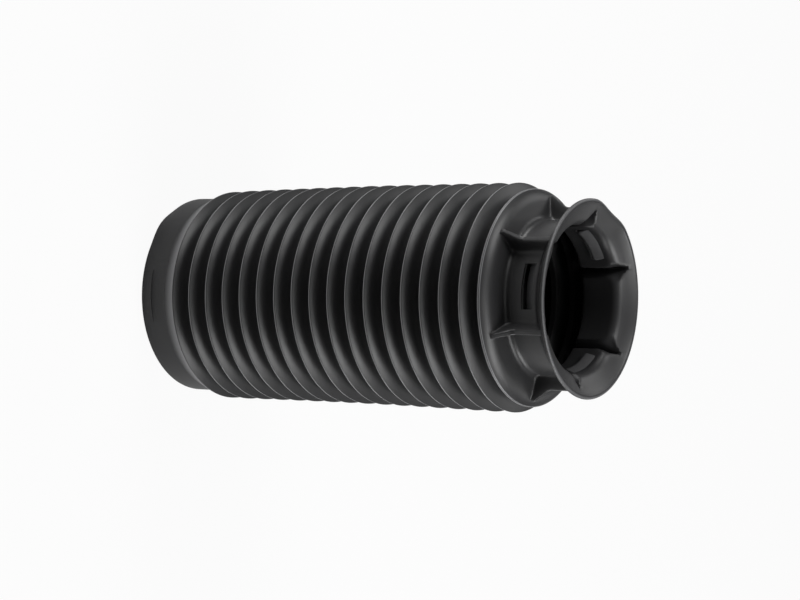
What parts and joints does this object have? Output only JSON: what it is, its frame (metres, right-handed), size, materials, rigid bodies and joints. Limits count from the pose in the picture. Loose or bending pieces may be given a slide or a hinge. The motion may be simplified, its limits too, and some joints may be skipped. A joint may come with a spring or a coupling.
{
  "type": "rubber bellows boot",
  "caption": "Ribbed-neck rubber bellows boot with a plain round cuff, deep folds, a shoulder and a flared mouth; keeps dirt off a suspension strut's rod.",
  "frame": {"origin": "centre of the cuff's open end, which the boot stands on", "axes": "+Z along the boot's axis towards the flared mouth; +X and +Y square to it, with one window at 21 degrees from +X"},
  "size_m": [0.1014, 0.1014, 0.2143],
  "materials": {
    "rubber": "satin matt, moulded black"
  },
  "bodies": {
    "root": {"bellows_boot": "rubber"}
  },
  "joints": []
}
